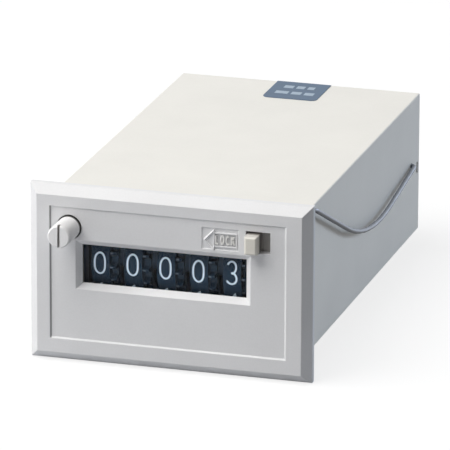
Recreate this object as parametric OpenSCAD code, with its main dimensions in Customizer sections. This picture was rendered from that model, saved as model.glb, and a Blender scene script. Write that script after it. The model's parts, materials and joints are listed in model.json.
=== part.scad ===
// Panel counter: an electromagnetic totaliser with digit wheels, a push reset, a lock slider
// and a wire bail that clamps it in a panel. +X is right, +Y goes into the panel, +Z is up.
// The origin is the centre of the bezel flange's rear face, where the panel's front lies.

/* [Bezel] */
// Width of the flange
bezel_w = 60; // [58:0.5:68]
// Height of the flange
bezel_h = 37.5; // [35:0.5:44]
// Depth of the bezel in front of the panel
bezel_t = 3.2; // [3:0.1:4.5]
// Straight land at the flange's edge
bezel_land = 1.2; // [0.4:0.1:1.6]
// Inset of the front border on each side
bezel_taper = 1.9; // [1:0.1:2.2]
// Centre of the recessed field, to the right of the bezel's centre
field_x = -0.25; // [-0.5:0.05:0.5]
// Centre of the recessed field, above the bezel's centre
field_z = 0.35; // [-0.5:0.05:0.5]
// Width of the recessed field
field_w = 50.2; // [49:0.2:52]
// Height of the recessed field
field_h = 28.4; // [27.6:0.2:30]
// Depth of the recessed field
field_depth = 0.3; // [0.2:0.1:0.7]
// Thickness of the front wall behind the field
front_wall = 2; // [1.8:0.1:2.2]
// Length of the snap tongues behind the flange
tongue_len = 6; // [5:0.5:8]
// Width of a snap tongue
tongue_w = 8; // [6:0.5:10]
// Thickness of a snap tongue
tongue_t = 1.2; // [0.8:0.1:1.3]

/* [Window] */
// Centre of the window, to the right of the bezel's centre
win_x = -1.3; // [-3:0.05:1]
// Centre of the window, above the bezel's centre
win_z = 2.35; // [1.5:0.05:2.6]
// Width of the clear opening
win_w = 34.8; // [30:0.2:36]
// Height of the clear opening
win_h = 8.2; // [6:0.2:8.4]
// Depth of the bevel around the opening
win_bevel = 1.2; // [0.8:0.1:1.3]
// Width of the bevel around the opening
win_bevel_w = 1.15; // [0.6:0.05:1.3]
// Thickness of the clear lens
lens_t = 0.8; // [0.6:0.1:1.2]
// How far the lens reaches past the opening
lens_margin = 1.2; // [0.8:0.1:1.3]

/* [Reset button] */
// Button axis, to the right of the bezel's centre
button_x = -21.2; // [-21.4:0.05:-20.8]
// Button axis, above the bezel's centre
button_z = 10.2; // [9.5:0.05:10.4]
// Radius of the knob
button_r = 2.4; // [2:0.05:2.5]
// How far the knob stands out of the field
button_out = 7.1; // [5.5:0.1:9]
// Travel of the button
button_travel = 4; // [2.5:0.1:4.4]
// Width of the slot in the knob's end
button_slot_w = 0.5; // [0.3:0.1:1.4]
// Depth of the slot in the knob's end
button_slot_d = 1; // [0.4:0.1:1.5]

/* [Lock slider] */
// Left end of the slot in the bezel
slot_x = 16.3; // [15.5:0.1:16.6]
// Width of the slot
slot_w = 5.1; // [4.6:0.1:5.4]
// Height of the slot
slot_h = 4.5; // [4:0.1:4.5]
// Centre of the slot, above the bezel's centre
slot_z = 10.6; // [10.4:0.05:10.7]
// Width of the finger grip
slider_w = 2.7; // [2:0.1:3]
// How far the finger grip stands out of the field
slider_out = 2.8; // [2:0.1:4.5]
// Left end of the sunken patch for the lock mark
mark_x = 7; // [6.6:0.1:7.4]
// Width of the sunken patch
mark_w = 7.7; // [7:0.1:8.3]
// Height of the sunken patch
mark_h = 4.5; // [3.6:0.1:4.6]
// Depth of the sunken patch
mark_depth = 0.2; // [0.1:0.05:0.3]

/* [Housing] */
// Width of the housing
case_w = 53.5; // [53:0.25:56]
// Height of the housing
case_h = 30.6; // [29.8:0.2:34]
// Length of the housing behind the flange
case_len = 95; // [94:0.5:120]
// Wall of the housing
case_wall = 1.8; // [1.5:0.1:1.9]
// How deep the housing sits in the bezel
case_seat = 0.4; // [0.2:0.1:0.6]
// Radius of the housing's long edges
case_edge = 0.3; // [0.3:0.1:1]
// Thickness of the rear cover
cover_t = 2; // [1.5:0.1:3]
// Centre of the label on top, to the right of the housing's centre
label_x = 0.9; // [-6:0.1:6]
// Width of the label on top
label_w = 12; // [8:0.5:20]
// Length of the label on top
label_len = 12.5; // [6:0.5:16]

/* [Mounting bail] */
// Diameter of the wire
wire_d = 1; // [0.8:0.1:1.5]
// Distance of the pivot behind the flange
pivot_y = 88.5; // [84:0.5:89]
// Height of the pivot
pivot_z = 0.8; // [-3:0.1:4]
// Distance of the knee behind the flange
knee_y = 47; // [40:0.5:56]
// Height of the knee
knee_z = -3.3; // [-6:0.1:0]
// Radius of the knee's long bend
knee_bend = 70; // [40:1:80]
// Gap between the knee's wire and the housing's side
knee_gap = 1.2; // [0.8:0.05:2.5]
// Distance of the cross wire behind the flange
cross_y = 5.2; // [4:0.1:8]

/* [Digit wheels] */
// Number of wheels
wheel_count = 5; // [5]
// Distance from wheel to wheel
wheel_pitch = 7; // [6.9:0.05:7.1]
// Radius of the digit drum
wheel_r = 9.8; // [9.2:0.1:9.9]
// Centre of the row, to the right of the bezel's centre
row_x = -1.45; // [-1.6:0.05:-1.2]
// Height of the wheel axis
wheel_z = 2.2; // [2:0.05:2.3]
// Radius of the wheel shaft
wheel_shaft_r = 1.25; // [0.9:0.05:1.6]
// Radius of the pinion shaft
pinion_shaft_r = 0.75; // [0.5:0.05:1]
// Teeth on the ring of a wheel
gear_teeth = 20; // [20]
// Teeth on a transfer pinion
pinion_teeth = 8; // [8]
// Width of the digit drum
drum_w = 3.8; // [3.4:0.1:4]
// Largest radius of the heart cam
heart_r = 5.4; // [4.6:0.1:5.8]

/* [Mechanism] */
// Thickness of the chassis sheet
sheet_t = 1; // [0.8:0.1:1.2]
// Depth of the chassis side plates' rear edge behind the flange
plate_y1 = 37; // [34:0.5:37]
// Radius of the iron core
core_r = 3.5; // [2.5:0.1:4]
// Length of the coil bobbin
bobbin_len = 29.4; // [22:0.2:40]
// Radius of the bobbin's flanges
bobbin_r = 9.3; // [7.5:0.1:10]
// Radius of the winding
winding_r = 8.7; // [6:0.1:9]
// Thickness of the yoke
yoke_t = 1.5; // [1:0.1:2]
// Width of the yoke
yoke_w = 14; // [12:0.5:18]
// Thickness of the armature
armature_t = 1.2; // [0.8:0.1:1.4]
// Radius of the ratchet on the units wheel
ratchet_r = 5.2; // [4.6:0.1:5.4]

/* [Terminals] */
// Distance between the two terminal screws
terminal_pitch = 14.4; // [12:0.2:18]
// Radius of a terminal screw's shank
terminal_screw_r = 1.5; // [1:0.1:2]
// How far the barrier ribs stand out of the terminal block
barrier_out = 4.5; // [2.5:0.1:6]

/* [Hidden] */
$fn = 48;

// Clearances
seat_clear = 0.1;
slide_clear = 0.15;
run_clear = 0.05;
fixed_clear = 0.02;
part_clear = 0.3;
cut = 1;

// Bezel planes along Y
border_y = -bezel_t;
field_y = border_y + field_depth;
back_y = field_y + front_wall;
field_draft = 0.3;

// Room inside the housing
inner_w = case_w - 2 * case_wall;
inner_h = case_h - 2 * case_wall;
fit_w = inner_w - 2 * seat_clear;
fit_h = inner_h - 2 * seat_clear;

// Snap tongues and their bumps
tongue_x = 9;
bump_h = 0.5;
bump_len = 1.2;
bump_z = fit_h / 2 + bump_h;
bump_inset = 1;
bump_back = 2;
bump_w = tongue_w - 2 * bump_inset;
bump_y = tongue_len - bump_back;

// Window and lens planes
win_lip = 0.3;
lens_y = field_y + win_bevel + win_lip;
lens_rear = lens_y + lens_t;
lens_w = win_w + 2 * lens_margin;
lens_h = win_h + 2 * lens_margin;

// Wheel zones, measured from the middle of a wheel
wheel_gap = 0.3;
wheel_half = (wheel_pitch - wheel_gap) / 2;
drum_x1 = 2;
drum_x0 = drum_x1 - drum_w;
carry_w = 0.8;
carry_x0 = drum_x0 - carry_w;
wheel_y = lens_rear + part_clear + wheel_r;
function wheel_x(i) = row_x + (i - (wheel_count - 1) / 2) * wheel_pitch;
row_x0 = wheel_x(0) - wheel_half;
row_x1 = wheel_x(wheel_count - 1) + wheel_half;
step_angle = 36;

// Gear ring and pinions
gear_step = 0.35;
gear_tip = wheel_r - gear_step;
gear_addendum = 0.6;
gear_pitch_r = gear_tip - gear_addendum;
gear_dedendum = 0.95;
gear_root = gear_pitch_r - gear_dedendum;
gear_rim = 0.9;
gear_bore = gear_root - gear_rim;
gear_phase = 4.5;
tooth_root_w = 1.15;
tooth_tip_w = 0.55;
pinion_pitch_r = gear_pitch_r * pinion_teeth / gear_teeth;
pinion_addendum = 0.65;
pinion_dedendum = 0.9;
pinion_tip = pinion_pitch_r + pinion_addendum;
pinion_root = pinion_pitch_r - pinion_dedendum;
mesh_r = gear_pitch_r + pinion_pitch_r;
pinion_y = wheel_y + mesh_r * cos(gear_phase);
pinion_z = wheel_z + mesh_r * sin(gear_phase);
pinion_end = 0.25;
hub_wall = 1.95;
hub_r = wheel_shaft_r + hub_wall;
web_t = 2.4;
heart_wall = 1.15;
heart_min = wheel_shaft_r + heart_wall;
heart_points = 48;
carry_tip = mesh_r - pinion_tip - part_clear;
carry_tooth_h = 0.7;
carry_r = carry_tip - carry_tooth_h;

// Ratchet and pallet on the units wheel
ratchet_w = 1.6;
ratchet_teeth = 10;
ratchet_tooth_h = 1.3;
ratchet_root_w = 2;
ratchet_tip_w = 0.5;
ratchet_root = ratchet_r - ratchet_tooth_h;
ratchet_x1 = row_x1 + ratchet_w;
pallet_side = 0.35;
pallet_t = 1.1;
pallet_x0 = row_x1 + pallet_side;
pallet_x1 = pallet_x0 + pallet_t;
pallet_gap = 0.3;
armature_rise = 2.3;

// Chassis
spacer_w = 0.8;
plate_x0 = row_x0 - spacer_w;
plate_x1 = ratchet_x1 + spacer_w + part_clear;
plate_y0 = 5.2;
plate_corner = 2;
base_z0 = -fit_h / 2;
base_z1 = base_z0 + sheet_t;
base_y0 = tongue_len + part_clear;
boss_r = 2.1;
boss_x = fit_w / 2 - boss_r - part_clear;
boss_lift = 0.7;
boss_z = base_z0 + boss_r + boss_lift;
chassis_screw_r = 1;
chassis_screw_head_r = 1.75;
chassis_screw_head_t = 1.2;
chassis_screw_len = 4.5;
chassis_slot_w = 0.4;
ear_z1 = boss_z + boss_r;
base_margin = 1;
base_tail = 2;
clip_t = 0.5;
clip_w = 1.3;
shaft_end = 0.8;
shaft_x0 = plate_x0 - sheet_t - shaft_end;
shaft_x1 = plate_x1 + sheet_t + shaft_end;

// Reset button, stem, spring and comb
button_clear = 0.2;
button_hole_r = button_r + button_clear;
button_chamfer = 0.3;
collar_y = back_y + slide_clear;
collar_t = 1.2;
collar_drop = 3.4;
collar_rise = 1.3;
collar_x1 = win_x - lens_w / 2 - seat_clear - part_clear;
stem_t = 1.6;
stem_h = 2.6;
stem_shift = 1;
stem_drop = 0.1;
stem_x = button_x - stem_shift;
stem_z = button_z - stem_drop;
stem_y1 = 24;
guide_r = 0.7;
guide_out = 1;
guide_y1 = plate_y1 + guide_out;
spring_wire_r = 0.2;
spring_r = guide_r + part_clear + spring_wire_r;
spring_sides = 6;
reset_turns = 8;
tab_inset = 0.8;
tab_rise = 1.2;
tab_drop = 2.8;
tab_x = fit_w / 2 - tab_inset;
tab_z0 = stem_z - tab_drop;
plate_top = stem_z + tab_rise;
comb_t = 0.6;
comb_drop = 1.2;
comb_z1 = wheel_z - wheel_r - comb_drop;
comb_z0 = comb_z1 - comb_t;
comb_y0 = 8;
comb_y1 = 12;
comb_front = 2;
finger_w = 2.2;
finger_x = (carry_x0 - wheel_half - wheel_gap) / 2;
finger_z = wheel_z - heart_r - part_clear;
ear_x = stem_x - stem_t / 2;
lug_y = (comb_y0 + comb_y1) / 2;
lug_len = 1.5;
lug_h = 1.1;

// Lock slider
slot_margin = 0.35;
slider_x = slot_x + slot_margin;
slider_h = slot_h - 2 * part_clear;
lock_travel = slot_w - slider_w - 2 * slot_margin;
slider_chamfer = 0.35;
slide_t = 1.2;
slide_cover = 0.3;
slide_drop = 0.4;
arm_h = 2.1;
arm_drop = 0.4;
arm_gap = 0.6;
arm_z = fit_h / 2 - tongue_t - arm_drop - arm_h / 2;
arm_tip = button_x + button_r + arm_gap;
rib_h = 0.7;
rib_len = 20;

// Magnet
yoke_lap = 0.5;
yoke_y0 = plate_y1 - yoke_lap;
yoke_top = base_z1 + yoke_t;
coil_z = yoke_top + part_clear + bobbin_r;
hinge_r = 0.8;
knuckle_wall = 0.8;
hinge_in = 1.1;
knuckle_r = hinge_r + knuckle_wall;
hinge_y = yoke_y0 + hinge_in;
hinge_z = yoke_top + part_clear + knuckle_r;
armature_y1 = hinge_y + knuckle_r;
armature_y0 = armature_y1 - armature_t;
armature_w = 11;
pole_margin = 1;
armature_top = coil_z + core_r + pole_margin;
core_gap = 1;
core_y0 = armature_y1 + core_gap;
pole_out = 0.8;
bobbin_y0 = core_y0 + pole_out;
bobbin_y1 = bobbin_y0 + bobbin_len;
bobbin_tube = 1;
bobbin_flange = 1.2;
yoke_y1 = bobbin_y1 + seat_clear + yoke_t;
rivet_r = 2;
rivet_head = 0.3;
yoke_ear_w = 1.2;
yoke_ear_back = 1.3;
yoke_ear_rise = 1.4;
yoke_ear_top = hinge_z + yoke_ear_rise;
wing_h = 3.6;
wing_z0 = yoke_ear_top + part_clear;
wing_z1 = wing_z0 + wing_h;
foot_w = 4.8;
foot_x0 = pallet_x1 - foot_w;
foot_t = 1.2;
lever_h = 2;
fork_gap = 1.3;
fork_w = 2.5;
pawl_front = 0.6;
fork_y0 = wheel_y + ratchet_r + fork_gap;
fork_y1 = fork_y0 + fork_w;
pawl_y0 = wheel_y - pawl_front;
pawl_w = 1.4;
fork_arm = 1.3;
pawl_len = 0.6;
fork_top = wheel_z + ratchet_r + pallet_gap + pawl_len + fork_arm;
fork_bottom = wheel_z - ratchet_r - armature_rise - pawl_len - fork_arm;
return_y = 30;
return_r = 1.1;
return_turns = 5;
return_x = (pallet_x0 + pallet_x1) / 2;

// Rear cover and terminals
cover_inset = 0.4;
cover_y1 = case_len - cover_inset;
cover_y0 = cover_y1 - cover_t;
snap_w = 0.9;
snap_h = 2.2;
snap_z = -1;
snap_out = 1.2;
snap_back = 0.7;
snap_y = cover_y1 - snap_back - snap_w;
block_margin = 7.8;
block_w = terminal_pitch + 2 * block_margin;
block_h = 12;
block_out = 2.4;
block_y = cover_y1 + block_out;
barrier_t = 1.4;
terminal_z = 0;
terminal_w = 9;
terminal_h = 8;
terminal_t = 0.8;
terminal_tab_w = 3;
terminal_tab_z = terminal_z + terminal_h / 2 - terminal_t;
terminal_tab_out = 3.6;
terminal_tab_y = cover_y0 - terminal_tab_out;
terminal_head_r = 2.75;
terminal_head_t = 1.8;
terminal_screw_len = 3.6;
terminal_hole_len = 4;
terminal_slot_w = 0.8;
lead_r = 0.5;
lead_x = 3.5;
lead_inset = 2.3;
lead_z = coil_z + bobbin_r - lead_inset;
lead_sides = 8;

// Bail
wire_r = wire_d / 2;
pivot_clear = 0.08;
pivot_r = wire_r + fixed_clear;
pivot_hole_r = pivot_r + pivot_clear;
bail_x0 = case_w / 2 + wire_r + part_clear;
bail_x1 = case_w / 2 + wire_r + knee_gap;
cross_z = case_h / 2 + wire_r + part_clear;
pivot_bend = 0.9;
cross_bend = 1.8;
stub_in = 3.4;
wire_sides = 16;
pivot_steps = 6;
knee_steps = 10;
cross_steps = 8;

label_t = 0.15;
label_corner = 1.2;

// Box from its lowest to its highest corner
module slab(low, high) {
    translate(low) cube(high - low);
}

// Cylinder along X
module rod_x(x0, x1, r, y, z) {
    translate([x0, y, z]) rotate([0, 90, 0]) cylinder(h = x1 - x0, r = r);
}

// Cylinder along Y
module rod_y(y0, y1, r, x, z) {
    translate([x, y0, z]) rotate([-90, 0, 0]) cylinder(h = y1 - y0, r = r);
}

// Outline in the YZ plane, extruded along X
module sheet_x(x0, x1) {
    translate([x0, 0, 0]) rotate([90, 0, 90]) linear_extrude(x1 - x0) children();
}

// Outline in the XZ plane, extruded along Y
module sheet_y(y0, y1) {
    translate([0, y1, 0]) rotate([90, 0, 0]) linear_extrude(y1 - y0) children();
}

// Rectangular block that tapers along Y from one width and height to another
module taper_block(y0, w0, h0, y1, w1, h1) {
    intersection() {
        translate([0, 0, -max(h0, h1)]) linear_extrude(2 * max(h0, h1))
            polygon([[-w0 / 2, y0], [w0 / 2, y0], [w1 / 2, y1], [-w1 / 2, y1]]);
        sheet_x(-max(w0, w1), max(w0, w1))
            polygon([[y0, -h0 / 2], [y1, -h1 / 2], [y1, h1 / 2], [y0, h0 / 2]]);
    }
}

// Rectangle with round corners, about its centre
module round_rect(w, h, r) {
    square([w - 2 * r, h], center = true);
    square([w, h - 2 * r], center = true);
    for (x = [-1, 1], z = [-1, 1]) translate([x * (w / 2 - r), z * (h / 2 - r)]) circle(r);
}

// Toothed outline with straight-sided teeth
module toothed(root, tip, teeth, root_w, tip_w, phase) {
    circle(root);
    for (i = [0 : teeth - 1])
        rotate(phase + i * 360 / teeth)
            polygon([[root / 2, -root_w / 2], [root, -root_w / 2], [tip, -tip_w / 2],
                     [tip, tip_w / 2], [root, root_w / 2], [root / 2, root_w / 2]]);
}

// Unit vector
function unit(v) = v / norm(v);

// Points of a round bend at corner b between a and c
function bend(a, b, c, r, steps) =
    let (u = unit(a - b), v = unit(c - b), angle = acos(u * v), turn = 180 - angle)
    let (middle = b + unit(u + v) * r / sin(angle / 2))
    let (p = unit(b + u * r / tan(angle / 2) - middle), q = unit(b + v * r / tan(angle / 2) - middle))
    [for (k = [0 : steps])
        middle + r * (sin(turn * (1 - k / steps)) * p + sin(turn * k / steps) * q) / sin(turn)];

// Tube swept along a path that nowhere runs straight up
module tube(path, r, sides) {
    last = len(path) - 1;
    rings = [for (i = [0 : last])
        let (t = unit(path[min(i + 1, last)] - path[max(i - 1, 0)]))
        let (side = unit(cross(t, [0, 0, 1])), up = cross(side, t))
        for (k = [0 : sides - 1])
            path[i] + r * (cos(360 * k / sides) * side + sin(360 * k / sides) * up)];
    walls = [for (i = [0 : last - 1], k = [0 : sides - 1])
        let (a = i * sides + k, b = i * sides + (k + 1) % sides)
        each [[a, b, a + sides], [b, b + sides, a + sides]]];
    start = [for (k = [sides - 1 : -1 : 0]) k];
    end = [for (k = [0 : sides - 1]) last * sides + k];
    polyhedron(rings, concat([start, end], walls));
}

// Coil spring along Z from the origin
module coil_spring(length, r, wire, turns) {
    steps = 14;
    rise = (length - 2 * wire) / (turns * steps);
    path = [for (i = [0 : turns * steps])
        [r * cos(360 * i / steps), r * sin(360 * i / steps), wire + i * rise]];
    tube(path, wire, spring_sides);
}

// Tapered rim with the recessed field, the window, the button hole, the slider slot and the fixings behind
module front_bezel() {
    front_w = bezel_w - 2 * bezel_taper;
    front_h = bezel_h - 2 * bezel_taper;
    color("gainsboro") difference() {
        union() {
            difference() {
                union() {
                    taper_block(border_y, front_w, front_h, -bezel_land, bezel_w, bezel_h);
                    slab([-bezel_w / 2, -bezel_land, -bezel_h / 2], [bezel_w / 2, 0, bezel_h / 2]);
                }
                translate([field_x, 0, field_z])
                    taper_block(border_y - cut, field_w + 2 * field_draft * cut / field_depth,
                                field_h + 2 * field_draft * cut / field_depth,
                                field_y, field_w - 2 * field_draft, field_h - 2 * field_draft);
                slab([mark_x, border_y, slot_z - mark_h / 2],
                     [mark_x + mark_w, field_y + mark_depth, slot_z + mark_h / 2]);
                slab([-fit_w / 2, back_y, -fit_h / 2], [fit_w / 2, cut, fit_h / 2]);
                slab([-case_w / 2 - seat_clear, -case_seat, -case_h / 2 - seat_clear],
                     [case_w / 2 + seat_clear, cut, case_h / 2 + seat_clear]);
            }
            for (x = [-tongue_x, tongue_x], side = [-1, 1]) snap_tongue(x, side);
            for (x = [-boss_x, boss_x]) rod_y(back_y, plate_y0, boss_r, x, boss_z);
            slab([win_x - rib_len / 2, back_y, arm_z - arm_h / 2 - part_clear - rib_h],
                 [win_x + rib_len / 2, part_clear, arm_z - arm_h / 2 - part_clear]);
        }
        translate([win_x, 0, win_z]) {
            taper_block(field_y, win_w + 2 * win_bevel_w, win_h + 2 * win_bevel_w,
                        field_y + win_bevel, win_w, win_h);
            slab([-win_w / 2, field_y, -win_h / 2], [win_w / 2, lens_y + cut, win_h / 2]);
            slab([-lens_w / 2 - seat_clear, lens_y, -lens_h / 2 - seat_clear],
                 [lens_w / 2 + seat_clear, lens_rear, lens_h / 2 + seat_clear]);
        }
        rod_y(border_y - cut, back_y + cut, button_hole_r, button_x, button_z);
        slab([slot_x, border_y - cut, slot_z - slot_h / 2],
             [slot_x + slot_w, back_y + cut, slot_z + slot_h / 2]);
        for (x = [-boss_x, boss_x])
            rod_y(plate_y0 - chassis_screw_len, plate_y0 + cut, chassis_screw_r + run_clear, x, boss_z);
    }
}

// Tongue behind the flange with a bump that snaps into the housing, on top or below
module snap_tongue(x, side) {
    mirror([0, 0, side < 0 ? 1 : 0]) {
        slab([x - tongue_w / 2, back_y - front_wall / 2, fit_h / 2 - tongue_t],
             [x + tongue_w / 2, tongue_len, fit_h / 2]);
        slab([x - bump_w / 2, bump_y, fit_h / 2 - tongue_t / 2],
             [x + bump_w / 2, bump_y + bump_len, bump_z]);
    }
}

// Clear plate behind the window
module window_lens() {
    color([0.8, 0.85, 0.9, 0.4]) translate([win_x, 0, win_z])
        slab([-lens_w / 2, lens_y, -lens_h / 2], [lens_w / 2, lens_rear, lens_h / 2]);
}

// Push knob with its stop collar, flat stem and spring guide
module reset_button() {
    knob_y = field_y - button_out;
    knob_len = collar_y + collar_t / 2 - knob_y;
    color("whitesmoke") difference() {
        union() {
            translate([button_x, knob_y, button_z]) rotate([-90, 0, 0]) rotate_extrude()
                polygon([[0, 0], [button_r - button_chamfer, 0], [button_r, button_chamfer],
                         [button_r, knob_len], [0, knob_len]]);
            slab([button_x - button_r, collar_y, button_z - collar_drop],
                 [collar_x1, collar_y + collar_t, button_z + collar_rise]);
            slab([stem_x - stem_t / 2, collar_y + collar_t / 2, stem_z - stem_h / 2],
                 [stem_x + stem_t / 2, stem_y1, stem_z + stem_h / 2]);
            slab([ear_x - comb_t, lug_y - lug_len / 2, stem_z - lug_h / 2],
                 [ear_x + comb_t, lug_y + lug_len / 2, stem_z + lug_h / 2]);
            rod_y(stem_y1 - cut, guide_y1, guide_r, stem_x, stem_z);
        }
        slab([button_x - button_slot_w / 2, knob_y - cut, button_z - button_r - cut],
             [button_x + button_slot_w / 2, knob_y + button_slot_d, button_z + button_r + cut]);
    }
}

// Compression spring between the stem's shoulder and the chassis tab
module reset_spring() {
    color("silver") translate([stem_x, stem_y1 + fixed_clear, stem_z]) rotate([-90, 0, 0])
        coil_spring(plate_y1 - sheet_t - stem_y1 - 2 * fixed_clear, spring_r, spring_wire_r, reset_turns);
}

// Sheet comb under the wheels whose fingers press the heart cams back to zero
module reset_comb() {
    color("lightsteelblue") {
        difference() {
            union() {
                slab([wheel_x(0) + finger_x - comb_t, comb_front, comb_z0],
                     [wheel_x(wheel_count - 1) + finger_x + comb_t, comb_y1, comb_z1]);
                slab([ear_x - comb_t, comb_y0, comb_z0], [plate_x1 + sheet_t + comb_t, comb_y1, comb_z1]);
                slab([ear_x - comb_t, comb_y0, comb_z0], [ear_x, comb_y1, stem_z + stem_h / 2]);
                for (i = [0 : wheel_count - 1]) translate([wheel_x(i) + finger_x - comb_t / 2, 0, 0])
                    slab([0, comb_front, comb_z0], [comb_t, comb_front + finger_w, finger_z]);
            }
            slab([ear_x - comb_t - cut, lug_y - lug_len / 2 - fixed_clear, stem_z - lug_h / 2 - fixed_clear],
                 [ear_x, lug_y + lug_len / 2 + fixed_clear, stem_z + lug_h / 2 + fixed_clear]);
        }
    }
}

// Finger grip in the slot, its cover plate behind the wall and the arm that reaches to the button
module lock_slider() {
    grip_y = field_y - slider_out;
    slide_y = back_y + slide_clear;
    grip_x = slider_x + slider_w / 2;
    color("tan") {
        translate([grip_x, 0, slot_z]) {
            taper_block(grip_y, slider_w - 2 * slider_chamfer, slider_h - 2 * slider_chamfer,
                        grip_y + slider_chamfer, slider_w, slider_h);
            slab([-slider_w / 2, grip_y + slider_chamfer, -slider_h / 2],
                 [slider_w / 2, slide_y + slide_t / 2, slider_h / 2]);
        }
        slab([slot_x - lock_travel - slide_cover, slide_y, slot_z - slot_h / 2 - slide_drop],
             [slot_x + slot_w + slide_cover, slide_y + slide_t, fit_h / 2 - slide_clear]);
        slab([arm_tip, slide_y, arm_z - arm_h / 2], [slot_x, slide_y + slide_t, arm_z + arm_h / 2]);
    }
}

// Rectangular tube with the bail's pivot holes, the tongues' pockets and the rear cover's snap slots
module housing() {
    color("ivory") difference() {
        sheet_y(-case_seat, case_len) round_rect(case_w, case_h, case_edge);
        slab([-inner_w / 2, -cut, -inner_h / 2], [inner_w / 2, case_len + cut, inner_h / 2]);
        rod_x(-case_w, case_w, pivot_hole_r, pivot_y, pivot_z);
        for (x = [-tongue_x, tongue_x])
            slab([x - bump_w / 2 - slide_clear, bump_y - slide_clear, -bump_z - slide_clear],
                 [x + bump_w / 2 + slide_clear, bump_y + bump_len + slide_clear, bump_z + slide_clear]);
        slab([-case_w, snap_y - slide_clear, snap_z - snap_h / 2 - slide_clear],
             [case_w, snap_y + snap_w + slide_clear, snap_z + snap_h / 2 + slide_clear]);
    }
}

// Rear cover with a barrier block for the two terminals
module rear_cover() {
    color("dimgray") difference() {
        union() {
            slab([-fit_w / 2, cover_y0, -fit_h / 2], [fit_w / 2, cover_y1, fit_h / 2]);
            slab([-fit_w / 2 - snap_out, snap_y, snap_z - snap_h / 2],
                 [fit_w / 2 + snap_out, snap_y + snap_w, snap_z + snap_h / 2]);
            slab([-block_w / 2, cover_y0, terminal_z - block_h / 2],
                 [block_w / 2, block_y, terminal_z + block_h / 2]);
            for (x = [-block_w / 2, -barrier_t / 2, block_w / 2 - barrier_t])
                slab([x, cover_y0, terminal_z - block_h / 2],
                     [x + barrier_t, block_y + barrier_out, terminal_z + block_h / 2]);
        }
        for (x = [-terminal_pitch / 2, terminal_pitch / 2]) {
            rod_y(block_y - terminal_hole_len, block_y + cut, terminal_screw_r + run_clear, x, terminal_z);
            translate([x, 0, terminal_tab_z])
                slab([-terminal_tab_w / 2 - fixed_clear, cover_y0 - cut, -fixed_clear],
                     [terminal_tab_w / 2 + fixed_clear, block_y + cut, terminal_t + fixed_clear]);
        }
    }
}

// Film label on top of the housing at its rear edge
module top_label() {
    y1 = case_len - case_edge / 2;
    color("slategray") translate([label_x, y1 - label_len, case_h / 2]) linear_extrude(label_t) {
        translate([-label_w / 2, label_corner]) square([label_w, label_len - label_corner]);
        translate([-label_w / 2 + label_corner, 0]) square([label_w - 2 * label_corner, label_len]);
        for (x = [-1, 1]) translate([x * (label_w / 2 - label_corner), label_corner]) circle(label_corner);
    }
}

// Bent wire that pivots in the housing's sides, runs forward, rises at a knee and crosses over the top
module mounting_bail() {
    pivot = [bail_x0, pivot_y, pivot_z];
    knee = [bail_x1, knee_y, knee_z];
    corner = [bail_x1, cross_y, cross_z];
    far_corner = [-bail_x1, cross_y, cross_z];
    inside = [case_w / 2 - stub_in, pivot_y, pivot_z];
    start = [bail_x0 - pivot_bend - part_clear, pivot_y, pivot_z];
    right = concat([start], bend(inside, pivot, knee, pivot_bend, pivot_steps),
                   bend(pivot, knee, corner, knee_bend, knee_steps),
                   bend(knee, corner, far_corner, cross_bend, cross_steps));
    left = [for (i = [len(right) - 1 : -1 : 0]) [-right[i][0], right[i][1], right[i][2]]];
    color("lightslategray") {
        tube(concat(right, left), wire_r, wire_sides);
        for (side = [0, 1]) mirror([side, 0, 0])
            rod_x(inside[0], bail_x0 - pivot_bend, pivot_r, pivot_y, pivot_z);
    }
}

// Folded sheet that carries the wheels and the magnet
module chassis() {
    color("silver") difference() {
        union() {
            for (x = [plate_x0 - sheet_t, plate_x1]) sheet_x(x, x + sheet_t) side_plate();
            slab([plate_x0 - sheet_t, base_y0, base_z0], [plate_x1 + sheet_t, plate_y1, base_z1]);
            slab([-yoke_w / 2 - base_margin, base_y0, base_z0],
                 [yoke_w / 2 + base_margin, yoke_y1 + base_tail, base_z1]);
            slab([-boss_x - boss_r, plate_y0, base_z0], [plate_x0, plate_y0 + sheet_t, ear_z1]);
            slab([plate_x1, plate_y0, base_z0], [boss_x + boss_r, plate_y0 + sheet_t, ear_z1]);
            slab([-tab_x, plate_y1 - sheet_t, tab_z0], [plate_x0, plate_y1, plate_top]);
        }
        rod_x(-case_w, case_w, wheel_shaft_r + fixed_clear, wheel_y, wheel_z);
        rod_x(-case_w, case_w, pinion_shaft_r + fixed_clear, pinion_y, pinion_z);
        slab([-case_w, comb_y0 - part_clear, comb_z0 - part_clear],
             [case_w, comb_y1 + button_travel + part_clear, comb_z1 + part_clear]);
        for (x = [-boss_x, boss_x])
            rod_y(plate_y0 - cut, plate_y0 + sheet_t + cut, chassis_screw_r + seat_clear, x, boss_z);
        rod_y(plate_y1 - sheet_t - cut, plate_y1 + cut, guide_r + run_clear, stem_x, stem_z);
    }
}

// Outline of a chassis side plate, seen from the side
module side_plate() {
    polygon([[plate_y0, base_z0], [plate_y1, base_z0], [plate_y1, plate_top],
             [plate_y0 + plate_corner, plate_top], [plate_y0, plate_top - plate_corner]]);
}

// Two screws that hold the chassis to the bezel's bosses
module chassis_screws() {
    head_y = plate_y0 + sheet_t;
    color("silver") for (x = [-boss_x, boss_x]) difference() {
        union() {
            rod_y(plate_y0 - chassis_screw_len + seat_clear, head_y + fixed_clear,
                  chassis_screw_r, x, boss_z);
            rod_y(head_y, head_y + chassis_screw_head_t, chassis_screw_head_r, x, boss_z);
        }
        slab([x - chassis_screw_head_r, head_y + chassis_screw_head_t / 2, boss_z - chassis_slot_w / 2],
             [x + chassis_screw_head_r, head_y + chassis_screw_head_t + cut, boss_z + chassis_slot_w / 2]);
    }
}

// Shaft of the digit wheels
module wheel_shaft() {
    color("silver") rod_x(shaft_x0, shaft_x1, wheel_shaft_r, wheel_y, wheel_z);
}

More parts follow.
